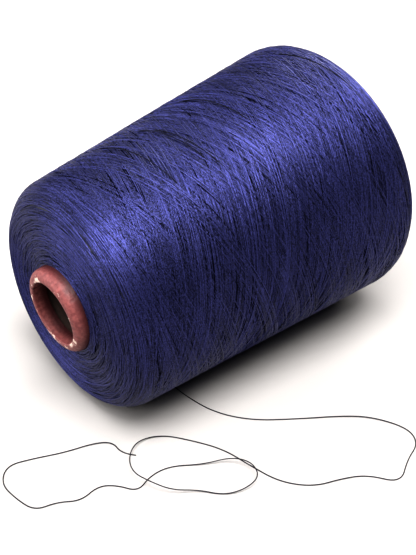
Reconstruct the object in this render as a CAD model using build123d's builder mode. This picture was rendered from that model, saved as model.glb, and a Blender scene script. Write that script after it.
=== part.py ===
from build123d import *
from math import atan, cos, pi, radians, sin, tan
import os

# A cone of sewing thread: a tapered paper cone, the thread that is cross-wound on it,
# and the thread's loose end. Millimetres, +Z up.
#
# The cone lies on its side, on the thread. The thread is wound to the same depth all
# along, so its outside has the cone's taper and the axis rises towards the base by the
# taper angle. X runs from the nose (the small end) to the base (the large end). The
# origin is on the floor, under the middle of the cone's length.

# ---- driving dimensions ----

# paper cone
cone_length = 170.0        # nose to base, along the axis
taper_angle = 4 + 1 / 3    # between the cone's wall and its axis, 4 degrees 20 minutes
nose_radius = 18.5         # outside, where the wall's slope meets the plane of the nose
collar_radius = 14.0       # bore of the collar, where the board is rolled in at the nose
collar_length = 6.5        # depth of the rolled-in collar
nose_outer_round = 3.8     # round from the outer wall to the nose's face
nose_inner_round = 0.6     # round from the nose's face to the collar's bore
wrap_wall = 0.4            # coloured paper over the outer wall, the nose and the collar
board_wall = 2.1           # rolled and glued board
liner_wall = 0.3           # paper that lines the board's inside

# winding
nose_reveal = 6.0          # cone that stands out of the thread at the nose
winding_length = 150.0     # along the axis
winding_radius = 49.5      # outside, at the nose end
nose_end_lean = 3.7        # the nose end isn't square: it leans towards the base
nose_shoulder = 13.0       # round of the edge at the nose end
base_shoulder = 14.0       # round of the edge at the base end
rest_press = 0.4           # depth that the thread is pressed flat where it lies

# thread
thread_diameter = 0.45

# the loose end's route over the floor, from the underside of the winding to the cut end
# (x, y, height of the thread's centre)
loose_route = [
    (-42.6, -9.0, 0.6),
    (-43.1, -19.5, 0.3),
    (-42.6, -33.0, 0.3),
    (-39.6, -48.0, 0.3),
    (-30.6, -61.5, 0.3),
    (-15.6, -73.0, 0.3),
    (1.4, -85.0, 0.6),
    (9.9, -93.5, 0.6),
    (16.4, -107.0, 0.3),
    (12.9, -115.5, 0.3),
    (2.9, -118.5, 0.3),
    (-8.6, -125.5, 0.3),
    (-15.6, -114.0, 0.3),
    (-24.6, -109.0, 0.5),
    (-36.6, -104.5, 0.3),
    (-45.1, -94.0, 0.3),
    (-48.1, -81.0, 0.3),
    (-50.6, -66.5, 0.3),
    (-57.6, -54.0, 0.3),
    (-65.1, -43.5, 0.3),
    (-75.6, -40.5, 1.4),
    (-84.6, -47.0, 3.6),
    (-88.6, -55.0, 3.7),
    (-86.1, -63.5, 3.7),
    (-81.6, -71.5, 2.4),
    (-72.6, -77.0, 0.8),
    (-66.6, -85.0, 0.3),
    (-58.6, -89.0, 1.6),
    (-51.1, -89.0, 3.7),
    (-48.6, -81.0, 3.7),
    (-52.6, -73.0, 2.4),
    (-62.6, -67.5, 0.5),
    (-73.1, -59.5, 0.3),
    (-82.6, -58.5, 0.3),
    (-91.1, -62.0, 0.3),
    (-95.6, -54.0, 0.3),
    (-101.6, -49.5, 0.3),
    (-111.1, -51.5, 0.3),
    (-118.6, -46.0, 0.3),
    (-127.6, -44.0, 0.3),
    (-129.9, -34.5, 0.3),
    (-130.4, -24.0, 0.3),
    (-123.6, -17.0, 0.3),
    (-113.6, -20.5, 0.3),
    (-101.6, -26.0, 0.3),
    (-89.6, -29.5, 0.5),
    (-83.1, -34.0, 0.5),
    (-84.1, -41.5, 0.3),
    (-80.1, -46.0, 0.3),
]

# ---- worked out from them ----

slope = tan(radians(taper_angle))
axis_cos = cos(radians(taper_angle))
axis_sin = sin(radians(taper_angle))


def cone_radius(along):
    """Outer radius of the paper cone at a distance from the nose."""
    return nose_radius + along * slope


def wound_radius(along):
    """Outer radius of the winding at a distance from the nose."""
    return winding_radius + (along - nose_reveal) * slope


# The lip at the nose has room for both of its rounds.
lip_width = nose_radius - collar_radius
# Both rounds are more than the wrap is thick, and together less than the lip is wide.
inner_round = max(min(nose_inner_round, 0.134 * lip_width), wrap_wall + 0.05)
outer_round = min(nose_outer_round, lip_width - inner_round - 0.05)

# The nose's rounded lip and the base's lowest edge are the furthest points along X, and
# the origin is midway between them.
lip_centre_radius = nose_radius + outer_round * (slope - 1 / axis_cos)
lip_reach = outer_round * (1 - axis_cos) + lip_centre_radius * axis_sin
base_reach = cone_length * axis_cos + cone_radius(cone_length) * axis_sin
nose_tip = Vector(
    -(base_reach - lip_reach) / 2,
    0,
    winding_radius * axis_cos - nose_reveal * axis_sin - rest_press,
)
cone_direction = Vector(axis_cos, 0, axis_sin)
cone_axis = Axis(nose_tip, cone_direction)

# In this plane's sketches, X is the distance from the nose and Y is the radius.
meridian = Plane(origin=nose_tip, x_dir=cone_direction, z_dir=(0, -1, 0))


def wall_outline(skin):
    """Half section of the cone's wall, less a skin of the given thickness outside.

    X is the distance from the nose and Y is the radius.
    """
    outer_drop = skin / axis_cos
    bore_radius = collar_radius + skin
    inner_drop = (wrap_wall + board_wall) / axis_cos
    with BuildSketch() as outline:
        with BuildLine():
            Polyline(
                (skin, bore_radius),
                (skin, cone_radius(skin) - outer_drop),
                (cone_length, cone_radius(cone_length) - outer_drop),
                (cone_length, cone_radius(cone_length) - inner_drop),
                (collar_length, cone_radius(collar_length) - inner_drop),
                (collar_length, bore_radius),
                close=True,
            )
        make_face()
        outer_corner = outline.vertices().group_by(Axis.X)[0].sort_by(Axis.Y)[-1]
        fillet(outer_corner, outer_round - skin)
        inner_corner = outline.vertices().group_by(Axis.X)[0].sort_by(Axis.Y)[0]
        fillet(inner_corner, inner_round - skin)
    return outline.sketch


# ---- paper cone ----

# The board is rolled into a cone in several turns and glued, and its small end is rolled
# inwards into a collar of double thickness.
with BuildPart() as cone_board:
    with BuildSketch(meridian):
        add(wall_outline(wrap_wall))
    revolve(axis=cone_axis)
cone_board.part.label = "cone_board"

# Coloured paper is glued over the outer wall, and goes round the nose and into the collar.
with BuildPart() as cone_wrap:
    with BuildSketch(meridian):
        add(wall_outline(0))
        add(wall_outline(wrap_wall), mode=Mode.SUBTRACT)
    revolve(axis=cone_axis)
cone_wrap.part.label = "cone_wrap"

# Plain paper lines the board from the collar to the base.
with BuildPart() as cone_liner:
    board_drop = (wrap_wall + board_wall) / axis_cos
    liner_drop = board_drop + liner_wall / axis_cos
    with BuildSketch(meridian):
        with BuildLine():
            Polyline(
                (collar_length, cone_radius(collar_length) - board_drop),
                (cone_length, cone_radius(cone_length) - board_drop),
                (cone_length, cone_radius(cone_length) - liner_drop),
                (collar_length, cone_radius(collar_length) - liner_drop),
                close=True,
            )
        make_face()
    revolve(axis=cone_axis)
cone_liner.part.label = "cone_liner"

# ---- winding ----

# A thick tapered sleeve, with rounded shoulders, that is pressed flat where it lies.
winding_end = nose_reveal + winding_length
lean_run = winding_radius * tan(radians(nose_end_lean))
lean_start = nose_reveal - lean_run - nose_shoulder
nose_end_plane = Plane(
    origin=nose_tip + cone_direction * nose_reveal,
    x_dir=(0, 1, 0),
    z_dir=cone_direction.rotate(Axis.Y, nose_end_lean),
)
floor_plane = Plane.XY

with BuildPart() as thread_winding:
    with BuildSketch(meridian):
        with BuildLine():
            Polyline(
                (lean_start, 0),
                (lean_start, wound_radius(lean_start)),
                (winding_end, wound_radius(winding_end)),
                (winding_end, 0),
                close=True,
            )
        make_face()
    revolve(axis=cone_axis)
    split(bisect_by=nose_end_plane, keep=Keep.TOP)
    end_edges = thread_winding.edges().filter_by(GeomType.LINE, reverse=True).sort_by(cone_axis)
    fillet(end_edges[0], nose_shoulder)
    end_edges = thread_winding.edges().filter_by(GeomType.CIRCLE).sort_by(cone_axis)
    fillet(end_edges[-1], base_shoulder)
    with BuildSketch(meridian):
        with BuildLine():
            Polyline(
                (lean_start, 0),
                (lean_start, cone_radius(lean_start)),
                (cone_length, cone_radius(cone_length)),
                (cone_length, 0),
                close=True,
            )
        make_face()
    revolve(axis=cone_axis, mode=Mode.SUBTRACT)
    split(bisect_by=floor_plane, keep=Keep.TOP)
thread_winding.part.label = "thread_winding"

# ---- loose end ----

# The thread leaves the winding's underside and lies on the floor in loose curves. It
# passes over itself at the two long humps.
route_points = [Vector(*point) for point in loose_route]
runs = [after - before for before, after in zip(route_points, route_points[1:])]
bend_radii = []
for run, next_run in zip(runs, runs[1:]):
    half_turn = radians(run.get_angle(next_run)) / 2
    bend_radii.append(0.45 * min(run.length, next_run.length) / tan(half_turn))

with BuildPart() as loose_thread:
    with BuildLine() as loose_path:
        FilletPolyline(*route_points, radius=bend_radii)
    with BuildSketch(Plane(origin=route_points[0], z_dir=runs[0])):
        Circle(thread_diameter / 2)
    sweep(path=loose_path.wires()[0])
loose_thread.part.label = "loose_thread"

# ---- files ----

pieces = [cone_board, cone_wrap, cone_liner, thread_winding, loose_thread]
os.makedirs("parts", exist_ok=True)
for piece in pieces:
    export_step(piece.part, f"parts/{piece.part.label}.step")

# ---- report ----

path_length = loose_path.wires()[0].length
tube_volume = pi * thread_diameter**2 / 4 * path_length
print("loose thread: length", round(path_length, 1), "mm")
print("bend radii, mm:", [round(radius, 1) for radius in bend_radii])
print("volume, mm3:", round(loose_thread.part.volume, 2), "section x length:", round(tube_volume, 2))
print("nose tip:", nose_tip, "axis:", cone_direction)
for piece in pieces:
    box = piece.part.bounding_box()
    print(piece.part.label, "valid", piece.part.is_valid, "volume", round(piece.part.volume), box)
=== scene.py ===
from math import cos, pi, radians, sin, tau
from random import Random

import bpy
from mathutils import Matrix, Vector


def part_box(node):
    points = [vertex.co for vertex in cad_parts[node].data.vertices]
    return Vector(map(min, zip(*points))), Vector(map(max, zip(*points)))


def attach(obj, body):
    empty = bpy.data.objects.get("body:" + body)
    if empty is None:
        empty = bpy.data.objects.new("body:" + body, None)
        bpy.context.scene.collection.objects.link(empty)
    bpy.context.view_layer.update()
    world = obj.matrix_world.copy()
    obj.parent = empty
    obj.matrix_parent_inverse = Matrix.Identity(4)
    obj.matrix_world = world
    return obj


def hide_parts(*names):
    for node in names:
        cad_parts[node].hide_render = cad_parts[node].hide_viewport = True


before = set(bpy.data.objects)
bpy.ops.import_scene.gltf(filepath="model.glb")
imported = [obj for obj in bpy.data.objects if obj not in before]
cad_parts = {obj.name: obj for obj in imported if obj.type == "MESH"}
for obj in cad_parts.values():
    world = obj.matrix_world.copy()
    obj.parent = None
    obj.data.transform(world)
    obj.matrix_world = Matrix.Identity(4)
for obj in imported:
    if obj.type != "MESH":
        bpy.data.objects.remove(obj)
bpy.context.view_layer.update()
MM = 0.001


# ---- camera ----
# It looks down on the nose end from the front left, close enough to see the cone's depth.

look_at = Vector((-15.5, -14.5, 41.15)) * MM
camera_distance = 470.25 * MM
camera_azimuth = radians(-39.987)
camera_elevation = radians(37.446)
bpy.ops.object.camera_add(rotation=(pi / 2 - camera_elevation, 0, camera_azimuth))
camera = bpy.context.object
camera.name = "camera"
camera.data.lens = 70.57
camera.data.clip_start = 10 * MM
camera.location = look_at + camera_distance * Vector((
    sin(camera_azimuth) * cos(camera_elevation),
    -cos(camera_azimuth) * cos(camera_elevation),
    sin(camera_elevation),
))
bpy.context.scene.camera = camera


# ---- loose end of the thread ----
# The free end of the navy sewing thread, a limp twisted filament yarn. It comes out from
# under the winding and lies on the table in the curves that it took when it was pulled off.

thread_diameter = 0.45 * MM
loose_route = [  # millimetres: x, y and the height of the thread's centre
    (-42.6, -9.0, 0.6),
    (-43.1, -19.5, 0.3),
    (-42.6, -33.0, 0.3),
    (-39.6, -48.0, 0.3),
    (-30.6, -61.5, 0.3),
    (-15.6, -73.0, 0.3),
    (1.4, -85.0, 0.6),
    (9.9, -93.5, 0.6),
    (16.4, -107.0, 0.3),
    (12.9, -115.5, 0.3),
    (2.9, -118.5, 0.3),
    (-8.6, -125.5, 0.3),
    (-15.6, -114.0, 0.3),
    (-24.6, -109.0, 0.5),
    (-36.6, -104.5, 0.3),
    (-45.1, -94.0, 0.3),
    (-48.1, -81.0, 0.3),
    (-50.6, -66.5, 0.3),
    (-57.6, -54.0, 0.3),
    (-65.1, -43.5, 0.3),
    (-75.6, -40.5, 1.4),
    (-84.6, -47.0, 3.6),
    (-88.6, -55.0, 3.7),
    (-86.1, -63.5, 3.7),
    (-81.6, -71.5, 2.4),
    (-72.6, -77.0, 0.8),
    (-66.6, -85.0, 0.3),
    (-58.6, -89.0, 1.6),
    (-51.1, -89.0, 3.7),
    (-48.6, -81.0, 3.7),
    (-52.6, -73.0, 2.4),
    (-62.6, -67.5, 0.5),
    (-73.1, -59.5, 0.3),
    (-82.6, -58.5, 0.3),
    (-91.1, -62.0, 0.3),
    (-95.6, -54.0, 0.3),
    (-101.6, -49.5, 0.3),
    (-111.1, -51.5, 0.3),
    (-118.6, -46.0, 0.3),
    (-127.6, -44.0, 0.3),
    (-129.9, -34.5, 0.3),
    (-130.4, -24.0, 0.3),
    (-123.6, -17.0, 0.3),
    (-113.6, -20.5, 0.3),
    (-101.6, -26.0, 0.3),
    (-89.6, -29.5, 0.5),
    (-83.1, -34.0, 0.5),
    (-84.1, -41.5, 0.3),
    (-80.1, -46.0, 0.3),
]


def colour(code):
    """A colour node's value for an sRGB hex code such as "1b2a3c"."""
    channels = [int(code[i:i + 2], 16) / 255 for i in (0, 2, 4)]
    linear = [c / 12.92 if c <= 0.04045 else ((c + 0.055) / 1.055) ** 2.4 for c in channels]
    return (*linear, 1)


def new_material(name):
    """A material with one Principled shader, as the material, its nodes and the shader."""
    material = bpy.data.materials.new(name)
    material.use_nodes = True
    return material, material.node_tree, material.node_tree.nodes["Principled BSDF"]


def add_node(tree, kind, settings=None, **inputs):
    """Adds a node. Each input, by name or as n0, n1 and so on, is a value or an output socket."""
    node = tree.nodes.new(kind)
    for key, value in (settings or {}).items():
        setattr(node, key, value)
    for key, value in inputs.items():
        by_number = key[0] == "n" and key[1:].isdigit()
        socket = node.inputs[int(key[1:]) if by_number else key]
        if isinstance(value, bpy.types.NodeSocket):
            tree.links.new(value, socket)
        else:
            socket.default_value = value
    return node


def give_finish(piece, material):
    """Puts one material on a piece, in place of any it has."""
    piece.data.materials.clear()
    piece.data.materials.append(material)


# Navy trilobal polyester, twisted. Its filaments have flat sides, so it shines in bands, nearly
# as a dark metal does, and the twist breaks the shine into light and dark flecks. These flecks
# are painted glints and painted shade in the colour. Its two plies turn about 850 times in a
# metre, so the flecks are 0.6 mm apart.
fleck_scale = 1700.0
fleck_weight = 3.0             # against 1.0 for the difference between one thread and the next


def thread_finish(name, dark, light):
    """A thread's material, from the colour of its dark flecks to that of its light ones."""
    material, tree, shader = new_material(name)
    place = add_node(tree, "ShaderNodeTexCoord").outputs["Object"]
    strand = add_node(tree, "ShaderNodeNewGeometry").outputs["Random Per Island"]
    # Painted glints: the twist's light and dark flecks of shine, put into the colour.
    flecks = add_node(tree, "ShaderNodeTexNoise", Vector=place, Scale=fleck_scale, Detail=1.0)
    blend = add_node(tree, "ShaderNodeMath", {"operation": "MULTIPLY_ADD"},
                     n0=flecks.outputs["Fac"], n1=fleck_weight, n2=strand)
    shade = add_node(tree, "ShaderNodeValToRGB", Fac=add_node(
        tree, "ShaderNodeMapRange", n0=blend.outputs[0], n1=1.2, n2=2.8).outputs[0])
    shade.color_ramp.elements[0].color = colour(dark)
    shade.color_ramp.elements[1].color = colour(light)
    tree.links.new(shade.outputs["Color"], shader.inputs["Base Color"])
    shader.inputs["Metallic"].default_value = 0.85
    shader.inputs["Roughness"].default_value = 0.45
    shader.inputs["IOR"].default_value = 1.6
    shader.inputs["Specular IOR Level"].default_value = 0.5
    return material


thread_navy = thread_finish("navy_polyester_thread", "08081e", "3c3e74")
# A second, much deeper copy of the same thread, for single threads: painted shade, so that one
# against the pale table looks nearly black.
shaded_single_navy = thread_finish("navy_polyester_single_thread_painted_shade", "030308", "0c0c1a")


def strand_curve(name, radius, material):
    """An empty curve piece whose splines are round threads."""
    data = bpy.data.curves.new(name, "CURVE")
    data.dimensions = "3D"
    data.bevel_depth = radius
    data.bevel_resolution = 0
    data.use_fill_caps = True
    data.materials.append(material)
    piece = bpy.data.objects.new(name, data)
    bpy.context.scene.collection.objects.link(piece)
    return piece


loose_end = strand_curve("loose_end", thread_diameter / 2, shaded_single_navy)
loose_end.data.bevel_resolution = 2
loose_end.data.resolution_u = 8
line = loose_end.data.splines.new("NURBS")
line.points.add(len(loose_route) - 1)
for point, place in zip(line.points, loose_route):
    point.co = (*(Vector(place) * MM), 1)
line.order_u = 3
line.use_endpoint_u = True
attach(loose_end, "root")
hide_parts("loose_thread")


# ---- winding: the inner layers ----
# The mass of the wound thread under its last layers: dark, because little light gets in
# between them. It is wound on the paper cone at the winder, with no fixing but its tension.

cone_taper = radians(4 + 1 / 3)
nose_out = 6.0 * MM            # cone that stands out of the thread at the nose
wound_length = 150 * MM
nose_end_radius = 49.5 * MM
nose_shoulder = 13 * MM
base_shoulder = 14 * MM
end_lean = 3.7                 # degrees that the nose end leans towards the base
layer_depth = 0.75 * MM        # from the outermost threads down to the inner layers

bpy.ops.object.select_all(action="DESELECT")
inner_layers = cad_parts["thread_winding"].copy()
inner_layers.data = inner_layers.data.copy()
inner_layers.name = "winding_inner_layers"
for key in list(inner_layers.keys()):
    del inner_layers[key]
inner_layers.parent = None
bpy.context.scene.collection.objects.link(inner_layers)
inner_layers.select_set(True)
bpy.context.view_layer.objects.active = inner_layers
bpy.ops.object.mode_set(mode="EDIT")
bpy.ops.mesh.select_all(action="SELECT")
bpy.ops.mesh.remove_doubles(threshold=0.002 * MM)
bpy.ops.transform.shrink_fatten(value=-layer_depth)
bpy.ops.object.mode_set(mode="OBJECT")
bpy.ops.object.shade_smooth()

# The same polyester, matt and nearly black in the shade of the last layers, with ridges
# 0.48 mm apart, one for each thread.
material, tree, shader = new_material("navy_thread_in_shadow")
place = add_node(tree, "ShaderNodeTexCoord").outputs["Object"]
turned = add_node(tree, "ShaderNodeMapping", Vector=place, Rotation=(0, cone_taper, 0))
turns = add_node(tree, "ShaderNodeTexWave", {"wave_type": "BANDS", "bands_direction": "X"},
                 Vector=turned.outputs[0], Scale=650.0, Distortion=3.0, Detail=3.0)
ridge = add_node(tree, "ShaderNodeBump", Height=turns.outputs["Fac"], Distance=0.2 * MM)
tree.links.new(ridge.outputs[0], shader.inputs["Normal"])
shader.inputs["Base Color"].default_value = colour("0b0b20")
shader.inputs["Roughness"].default_value = 0.6
give_finish(inner_layers, material)
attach(inner_layers, "root")
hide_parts("thread_winding")


# ---- winding: the last layers ----
# The threads that show. Between the shoulders they cross each other at the winder's angle,
# about one and a half turns from end to end, and they turn back at the two shoulders.

up_slope = Vector((-sin(cone_taper), 0, cos(cone_taper)))
along_axis = Vector((cos(cone_taper), 0, sin(cone_taper)))
sideways = Vector((0, 1, 0))
slope = sin(cone_taper) / cos(cone_taper)
lean_slope = sin(radians(end_lean)) / cos(radians(end_lean))
lean_fades_over = 60 * MM
nose_heap = 0.9 * MM           # how much higher the threads lie next to the cone's nose
nose_heap_width = 9 * MM
rest_press = 0.4 * MM          # how far the winding is pressed flat where it lies
cone_length = 170 * MM
nose_radius = 18.5 * MM        # the cone's, at its nose
# The middle of the nose's face, found from the lowest edge of the base and from the
# winding's side, which lies flat on the table.
base_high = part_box("cone_wrap")[1]
base_radius = nose_radius + cone_length * slope
nose_tip = Vector((0, 0, 0))
nose_tip.z = nose_end_radius * cos(cone_taper) - nose_out * sin(cone_taper) - rest_press
nose_tip.x = base_high.x - cone_length * cos(cone_taper) - base_radius * sin(cone_taper)

face_in = 19.2 * MM            # radius where the nose end's threads meet the cone
base_in = 31.2 * MM            # and the base end's
nose_arc_radius = nose_end_radius + nose_shoulder * slope - nose_shoulder / cos(cone_taper)
base_arc_at = nose_out + wound_length - base_shoulder
base_arc_radius = nose_end_radius + (base_arc_at - nose_out) * slope - base_shoulder / cos(cone_taper)
nose_face = nose_arc_radius - face_in
nose_arc = (pi / 2 - cone_taper) * nose_shoulder
body_from = nose_out + nose_shoulder * (1 - sin(cone_taper))
body_to = base_arc_at - base_shoulder * sin(cone_taper)
body = (body_to - body_from) / cos(cone_taper)
base_arc = (pi / 2 + cone_taper) * base_shoulder
base_face = base_arc_radius - base_in
# Distances along the winding's outline, from the nose's foot over the shoulders to the base's.
shoulder_starts = nose_face
body_starts = shoulder_starts + nose_arc
body_ends = body_starts + body
shoulder_ends = body_ends + base_arc
outline_ends = shoulder_ends + base_face


def outline(distance):
    """Axial place, radius and outward direction of a point of the winding's outline."""
    if distance < shoulder_starts:
        return nose_out, face_in + distance, (-1, 0)
    if distance < body_starts:
        turn = pi - (distance - shoulder_starts) / nose_shoulder
        centre = (nose_out + nose_shoulder, nose_arc_radius)
        out = (cos(turn), sin(turn))
        return centre[0] + nose_shoulder * out[0], centre[1] + nose_shoulder * out[1], out
    if distance < body_ends:
        run = (distance - body_starts) * cos(cone_taper)
        out = (-sin(cone_taper), cos(cone_taper))
        return body_from + run, nose_end_radius + (body_from + run - nose_out) * slope, out
    if distance < shoulder_ends:
        turn = pi / 2 + cone_taper - (distance - body_ends) / base_shoulder
        out = (cos(turn), sin(turn))
        return base_arc_at + base_shoulder * out[0], base_arc_radius + base_shoulder * out[1], out
    return nose_out + wound_length, base_arc_radius - (distance - shoulder_ends), (1, 0)


def on_winding(distance, angle, height):
    """The point at a distance along the outline, an angle round the axis and a height."""
    along, radius, out = outline(min(max(distance, 0), outline_ends))
    along += out[0] * height
    radius += out[1] * height
    fade = max(0.0, 1 - max(0.0, along - nose_out) / lean_fades_over)
    along += lean_slope * radius * sin(angle) * fade
    if distance < nose_heap_width:
        along -= nose_heap * (1 - max(distance, 0) / nose_heap_width) ** 2
    place = nose_tip + along_axis * along + (sideways * cos(angle) + up_slope * sin(angle)) * radius
    place.z = max(place.z, thread_diameter / 2)
    return place


def lay_strand(piece, steps, path):
    """Adds one thread whose point at each step from 0 to 1 is path(step)."""
    strand = piece.data.splines.new("POLY")
    strand.points.add(steps)
    flat = []
    for step in range(steps + 1):
        flat += [*path(step / steps), 1]
    strand.points.foreach_set("co", flat)


def finish_strands(piece):
    """Turns a piece's threads into a mesh, which rides with the winding."""
    bpy.ops.object.select_all(action="DESELECT")
    piece.select_set(True)
    bpy.context.view_layer.objects.active = piece
    bpy.ops.object.convert(target="MESH")
    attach(piece, "root")


turn_back_nose = 0.2           # share of a traverse in which it slows down at the nose
turn_back_base = 0.1           # and at the base
mean_radius = 54 * MM
step_length = 5.0 * MM
chance = Random(11)
strand_radius = 0.25 * MM      # a little over the real thread, so that single threads show
strands_in_piece = 165
waviness = 0.25 * MM           # how far a thread wanders from its course
unevenness = 0.05 * MM         # and up and down
turn_in_depth = 0.5 * MM       # how far it goes under the others where it turns back


def traverse(share):
    """How far along the winding the guide is, after a share of its traverse."""
    full = 1 - turn_back_nose / 2 - turn_back_base / 2
    if share < turn_back_nose:
        return share * share / (2 * turn_back_nose) / full
    if share > 1 - turn_back_base:
        return 1 - (1 - share) ** 2 / (2 * turn_back_base) / full
    return (share - turn_back_nose / 2) / full


def cross_wound(piece, start_angle, turns, first, last, height):
    """One traverse from the nose end to the base end; negative turns go the other way."""
    reach = last - first
    sway = chance.uniform(0, tau)

    def path(step):
        angle = start_angle + turns * tau * step
        lift = unevenness * sin(7.0 * angle + sway)
        ends_down = -turn_in_depth * abs(2 * step - 1) ** 40
        drift = waviness * sin(2.3 * angle + 2 * sway)
        return on_winding(first + drift + reach * traverse(step), angle, height + lift + ends_down)

    steps = int(abs(turns) * tau * mean_radius / step_length)
    lay_strand(piece, steps, path)


# The threads lie side by side in bands, with a thread missing here and there, and each
# band lies a little higher than the one before it.
bands = 172
lowest_band = -0.75 * MM
bands_rise = 0.62 * MM
singles = 170
thread_gap_radius = 0.17 * MM
thread_gaps = 820

strands = []
for band in range(bands):
    turns = (1 if band % 2 else -1) * chance.uniform(1.42, 1.72)
    start = chance.uniform(0, tau)
    level = lowest_band + bands_rise * band / bands
    nose_side = body_starts - chance.uniform(0, 8) * MM
    base_side = body_ends + chance.uniform(0, 8) * MM
    for thread in range(chance.choice((2, 4, 6, 9, 12, 15))):
        start += chance.choice((2.0, 2.3, 2.7, 3.6)) * MM / mean_radius
        strands.append((start, turns + chance.uniform(-0.006, 0.006),
                        nose_side + chance.uniform(-1, 1) * MM,
                        base_side + chance.uniform(-1, 1) * MM,
                        level + chance.uniform(-0.14, 0.14) * MM))
# Single threads on top of them all.
for thread in range(singles):
    turns = (1 if thread % 2 else -1) * chance.uniform(1.25, 1.95)
    strands.append((chance.uniform(0, tau), turns, body_starts - chance.uniform(0, 8) * MM,
                    body_ends + chance.uniform(0, 8) * MM, chance.uniform(-0.1, 0.1) * MM))

cross_pieces = []
for number, strand in enumerate(strands):
    if number % strands_in_piece == 0:
        cross_pieces.append(strand_curve(f"winding_crossed_threads_{len(cross_pieces) + 1}",
                                         strand_radius, thread_navy))
    cross_wound(cross_pieces[-1], *strand)

# Deep gaps between threads, where no light comes out, drawn as thin black threads with no
# shine at all.
gap_black, _, gap_shader = new_material("shadow_between_threads")
gap_shader.inputs["Base Color"].default_value = colour("05050c")
gap_shader.inputs["Roughness"].default_value = 1.0
gap_shader.inputs["Specular IOR Level"].default_value = 0.0
gaps = strand_curve("winding_gaps_between_threads", thread_gap_radius, gap_black)
gap_step_length = 4 * MM
mean_turns = 1.55
for gap in range(thread_gaps):
    turns = (1 if gap % 2 else -1) * chance.uniform(1.3, 1.85)
    start = chance.uniform(0, tau)
    begins = chance.uniform(0.02, 0.93)
    lasts = chance.choice((0.02, 0.035, 0.05, 0.08))
    height = chance.uniform(-0.12, 0.1) * MM
    nose_side = body_starts - 4 * MM
    reach = body_ends + 4 * MM - nose_side

    def path(step):
        share = begins + lasts * step
        sinks = -0.25 * MM * (2 * step - 1) ** 4
        distance = nose_side + reach * traverse(min(share, 1))
        return on_winding(distance, start + turns * tau * share, height + sinks)

    lay_strand(gaps, max(4, int(lasts * mean_turns * tau * mean_radius / gap_step_length)), path)


# ---- winding: the turns on its two ends ----
# At the ends the threads turn back, so there they lie almost in circles round the cone,
# close together, on the shoulders and on the end faces. Only their own tension holds them.

end_strand_radius = 0.23 * MM
end_step_length = 4.2 * MM
end_turn_in_depth = 0.7 * MM


def end_turn(piece, middle, spread, span, drift, height):
    """One thread that comes out of the end, runs round it for a span and goes back in."""
    start = chance.uniform(0, tau)
    sense = chance.choice((-1, 1))

    def path(step):
        away = 2 * step - 1
        distance = middle + spread * (away * away - 0.4) + drift * away
        ends_down = -end_turn_in_depth * away ** 8
        return on_winding(distance, start + sense * span * step, height + ends_down)

    radius = outline(min(max(middle, 0), outline_ends))[1]
    lay_strand(piece, max(8, int(span * radius / end_step_length)), path)


def wind_end(name, threads, first, last):
    """The turns on one end of the winding, between two distances along its outline."""
    piece = strand_curve(name, end_strand_radius, thread_navy)
    for thread in range(threads):
        middle = chance.uniform(first, last)
        end_turn(piece, middle, chance.uniform(-2, 2) * MM, chance.uniform(1.0, 3.6),
                 chance.uniform(-4.5, 4.5) * MM, chance.uniform(-0.35, -0.05) * MM)
    return piece


nose_turns = wind_end("winding_nose_end_turns", 760, -0.5 * MM, body_starts + 5 * MM)
base_turns = wind_end("winding_base_end_turns", 560, body_ends - 5 * MM, outline_ends + 0.5 * MM)

# A few threads have sprung up a little from the top of the winding. Each is given by its
# place along the winding in millimetres, its first and last angle, and its height.
# The sprung threads wear the single thread's copy with painted shade.
sprung = strand_curve("winding_sprung_threads", thread_diameter / 2, shaded_single_navy)
for place_along, from_angle, to_angle, sprung_height in (
    (26, 62, 118, 1.1),
    (43, 70, 112, 1.5),
    (47, 76, 121, 0.9),
    (70, 66, 106, 1.3),
    (118, 72, 116, 0.8),
):
    def path(step):
        angle = radians(from_angle + (to_angle - from_angle) * step)
        height = (4 * step * (1 - step) * (sprung_height + 0.4) - 0.4) * MM
        return on_winding(body_starts + (place_along + 9 * step) * MM, angle, height)

    lay_strand(sprung, 24, path)

for piece in [*cross_pieces, gaps, nose_turns, base_turns, sprung]:
    finish_strands(piece)


# ---- paper cone: the coloured wrap ----
# Salmon paper, calendered and slightly glossy, glued over the board. It is rolled round
# the nose with the board, and its coating is rubbed pale along the lip.

lip_worn_to = 1.6 * MM         # depths from the nose
shade_starts = 1.8 * MM
shade_full = 5.2 * MM
threads_end = nose_out + wound_length
lap_along = (0, 0.94, 0.34)    # from the axis towards the paper's lap, and square to that
lap_across = (0, -0.34, 0.94)


def cone_places(tree, place):
    """A place's depth from the cone's nose, and its offset and direction from the axis."""
    # X runs along the cone from its nose, and Y and Z across it.
    from_nose = add_node(tree, "ShaderNodeMapping", {"vector_type": "TEXTURE"}, Vector=place,
                         Location=nose_tip, Rotation=(0, -cone_taper, 0)).outputs[0]
    across = add_node(tree, "ShaderNodeVectorMath", {"operation": "MULTIPLY"},
                      n0=from_nose, n1=(0, 1, 1)).outputs[0]
    direction = add_node(tree, "ShaderNodeVectorMath", {"operation": "NORMALIZE"}, n0=across)
    depth = add_node(tree, "ShaderNodeSeparateXYZ", n0=from_nose)
    return depth.outputs[0], across, direction.outputs[0]


# Dyed paper pressed smooth between rollers: a low sheen, mottled by the board under it.
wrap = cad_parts["cone_wrap"]
material, tree, shader = new_material("salmon_calendered_paper")
place = add_node(tree, "ShaderNodeTexCoord").outputs["Object"]
depth, across, direction = cone_places(tree, place)
# The paper creases across the lip where it is rolled in, every one or two millimetres.
creases = add_node(tree, "ShaderNodeTexNoise", Vector=direction, Scale=9.0, Detail=4.0)
mottle = add_node(tree, "ShaderNodeTexNoise", Vector=place, Scale=700.0, Detail=4.0)
uneven = add_node(tree, "ShaderNodeMath", {"operation": "MULTIPLY_ADD"},
                  n0=creases.outputs["Fac"], n1=0.7, n2=mottle.outputs["Fac"])
shade = add_node(tree, "ShaderNodeValToRGB", Fac=add_node(
    tree, "ShaderNodeMapRange", n0=uneven.outputs[0], n1=0.55, n2=1.15).outputs[0])
shade.color_ramp.elements[0].color = colour("53292a")
shade.color_ramp.elements[1].color = colour("7a4644")
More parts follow.
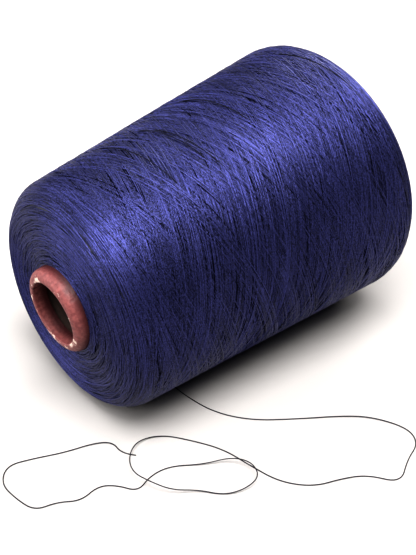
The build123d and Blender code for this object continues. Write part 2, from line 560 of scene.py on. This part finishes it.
# Rubbed through to the pale paper in spots of a millimetre or two along the lip's crest.
worn_spots = add_node(tree, "ShaderNodeTexNoise", Vector=place, Scale=170.0, Detail=6.0,
                      Roughness=0.72)
crest = add_node(tree, "ShaderNodeMapRange", n0=depth, n1=0.0, n2=lip_worn_to, n3=1.0, n4=0.0)
worn = add_node(tree, "ShaderNodeMath", {"operation": "MULTIPLY_ADD"},
                n0=crest.outputs[0], n1=0.17, n2=worn_spots.outputs["Fac"])
worn_edge = add_node(tree, "ShaderNodeMapRange", n0=worn.outputs[0], n1=0.72, n2=0.75)
# Painted shade: the paper's colour is deeper and redder where it goes in under the threads, and down
# in the collar.
shade_going_under = add_node(tree, "ShaderNodeMapRange", n0=depth, n1=shade_starts, n2=shade_full)
shade_ends_at_base = add_node(tree, "ShaderNodeMapRange", n0=depth, n1=threads_end + 1 * MM,
                     n2=threads_end - 2 * MM)
painted_shade_under_threads = add_node(tree, "ShaderNodeMath", {"operation": "MULTIPLY"},
                         n0=shade_going_under.outputs[0], n1=shade_ends_at_base.outputs[0])
# The paper's lap is a dark line along the cone, at the back and a little above the axis.
beside_lap = add_node(tree, "ShaderNodeVectorMath", {"operation": "DOT_PRODUCT"},
                      n0=across, n1=lap_across).outputs["Value"]
off_lap = add_node(tree, "ShaderNodeMath", {"operation": "ABSOLUTE"}, n0=beside_lap).outputs[0]
lap_line = add_node(tree, "ShaderNodeMapRange", n0=off_lap, n1=0.15 * MM, n2=0.4 * MM,
                    n3=1.0, n4=0.0)
back_side = add_node(tree, "ShaderNodeVectorMath", {"operation": "DOT_PRODUCT"},
                     n0=direction, n1=lap_along).outputs["Value"]
at_back = add_node(tree, "ShaderNodeMath", {"operation": "GREATER_THAN"}, n0=back_side, n1=0.0)
lap = add_node(tree, "ShaderNodeMath", {"operation": "MULTIPLY"},
               n0=lap_line.outputs[0], n1=at_back.outputs[0])
# Painted shade under the threads, joined with the real dark line of the lap.
shade_and_lap = add_node(tree, "ShaderNodeMath", {"operation": "MAXIMUM"},
                  n0=painted_shade_under_threads.outputs[0], n1=lap.outputs[0])
red_shade_and_lap = add_node(tree, "ShaderNodeMix", {"data_type": "RGBA"}, n0=shade_and_lap.outputs[0],
                    n6=shade.outputs["Color"], n7=colour("331012"))
coat = add_node(tree, "ShaderNodeMix", {"data_type": "RGBA"}, n0=worn_edge.outputs[0],
                n6=red_shade_and_lap.outputs[2], n7=colour("b9a398"))
tree.links.new(coat.outputs[2], shader.inputs["Base Color"])
relief = add_node(tree, "ShaderNodeBump", Height=uneven.outputs[0], Distance=0.25 * MM)
tree.links.new(relief.outputs[0], shader.inputs["Normal"])
shader.inputs["Roughness"].default_value = 0.5
shader.inputs["Specular IOR Level"].default_value = 0.25
give_finish(wrap, material)


# ---- paper cone: the board ----
# Grey-brown board, rolled in several turns and glued. Its raw face shows inside the nose,
# and its rolled turns show as fine rings on the cut edge at the base.

board_turn = 0.52 * MM         # four turns in the wall's 2.1 mm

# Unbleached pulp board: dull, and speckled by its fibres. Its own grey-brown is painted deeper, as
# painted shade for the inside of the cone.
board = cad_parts["cone_board"]
material, tree, shader = new_material("grey_brown_rolled_board")
place = add_node(tree, "ShaderNodeTexCoord").outputs["Object"]
fibres = add_node(tree, "ShaderNodeTexNoise", Vector=place, Scale=900.0, Detail=4.0)
depth, across, direction = cone_places(tree, place)
from_axis = add_node(tree, "ShaderNodeVectorMath", {"operation": "LENGTH"}, n0=across)
in_wall = add_node(tree, "ShaderNodeMath", {"operation": "MULTIPLY_ADD"},
                   n0=depth, n1=-slope, n2=from_axis.outputs["Value"])
# There is a dark line of glue between each two turns.
turn_of_board = add_node(tree, "ShaderNodeMath", {"operation": "MULTIPLY"},
                         n0=in_wall.outputs[0], n1=tau / board_turn)
glue = add_node(tree, "ShaderNodeMath", {"operation": "SINE"}, n0=turn_of_board.outputs[0])
grain = add_node(tree, "ShaderNodeMath", {"operation": "MULTIPLY_ADD"},
                 n0=glue.outputs[0], n1=0.3, n2=fibres.outputs["Fac"])
shade = add_node(tree, "ShaderNodeValToRGB", Fac=grain.outputs[0])
shade.color_ramp.elements[0].color = colour("2b1e17")
shade.color_ramp.elements[1].color = colour("6b5342")
tree.links.new(shade.outputs["Color"], shader.inputs["Base Color"])
shader.inputs["Roughness"].default_value = 0.9
give_finish(board, material)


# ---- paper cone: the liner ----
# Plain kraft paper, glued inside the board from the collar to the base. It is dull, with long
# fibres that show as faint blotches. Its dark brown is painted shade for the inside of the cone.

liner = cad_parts["cone_liner"]
material, tree, shader = new_material("kraft_liner_paper")
place = add_node(tree, "ShaderNodeTexCoord").outputs["Object"]
fibres = add_node(tree, "ShaderNodeTexNoise", Vector=place, Scale=500.0, Detail=4.0)
shade = add_node(tree, "ShaderNodeValToRGB", Fac=fibres.outputs["Fac"])
shade.color_ramp.elements[0].color = colour("2a1d17")
shade.color_ramp.elements[1].color = colour("42302a")
tree.links.new(shade.outputs["Color"], shader.inputs["Base Color"])
shader.inputs["Roughness"].default_value = 0.85
give_finish(liner, material)


# ---- table and light ----
# A plain table in a pale room, under wide soft studio lamps. The strongest is nearly
# overhead, and the others are weak and all round. The table is matt, and so grey that it
# comes out just white.

bpy.ops.mesh.primitive_plane_add(size=12)
table = bpy.context.object
table.name = "table"
material, tree, shader = new_material("white_table")
shader.inputs["Base Color"].default_value = colour("908d8b")
shader.inputs["Roughness"].default_value = 0.9
shader.inputs["Specular IOR Level"].default_value = 0.0
give_finish(table, material)


def soft_light(name, azimuth, elevation, strength):
    """A wide soft lamp at an azimuth, from +Y towards +X, and an elevation, in degrees."""
    bpy.ops.object.light_add(type="SUN")
    light = bpy.context.object
    light.name = name
    light.data.angle = radians(35)
    light.data.energy = strength * pi
    turn, rise = radians(azimuth), radians(elevation)
    light_from = Vector((sin(turn) * cos(rise), cos(turn) * cos(rise), sin(rise)))
    light.rotation_euler = light_from.to_track_quat("Z", "Y").to_euler()


soft_light("left_low_light", 300, 10, 1.0)
soft_light("back_left_light", 330, 30, 0.6)
soft_light("back_right_light", 62, 30, 0.95)
soft_light("front_left_light", 240, 55, 0.95)
soft_light("front_top_light", 180, 75, 2.6)
soft_light("left_top_light", 270, 75, 0.6)

world = bpy.data.worlds.new("pale_room")
world.use_nodes = True
room = world.node_tree.nodes["Background"]
room.inputs["Color"].default_value = colour("fbfaf9")
# The walls are seen as pale, but the lamps do the lighting.
seen = add_node(world.node_tree, "ShaderNodeLightPath").outputs["Is Camera Ray"]
walls = add_node(world.node_tree, "ShaderNodeMapRange", n0=seen, n3=0.02, n4=1.0)
world.node_tree.links.new(walls.outputs[0], room.inputs["Strength"])
bpy.context.scene.world = world
# Plain colours, and a little more contrast.
bpy.context.scene.view_settings.view_transform = "Standard"
bpy.context.scene.view_settings.gamma = 0.8
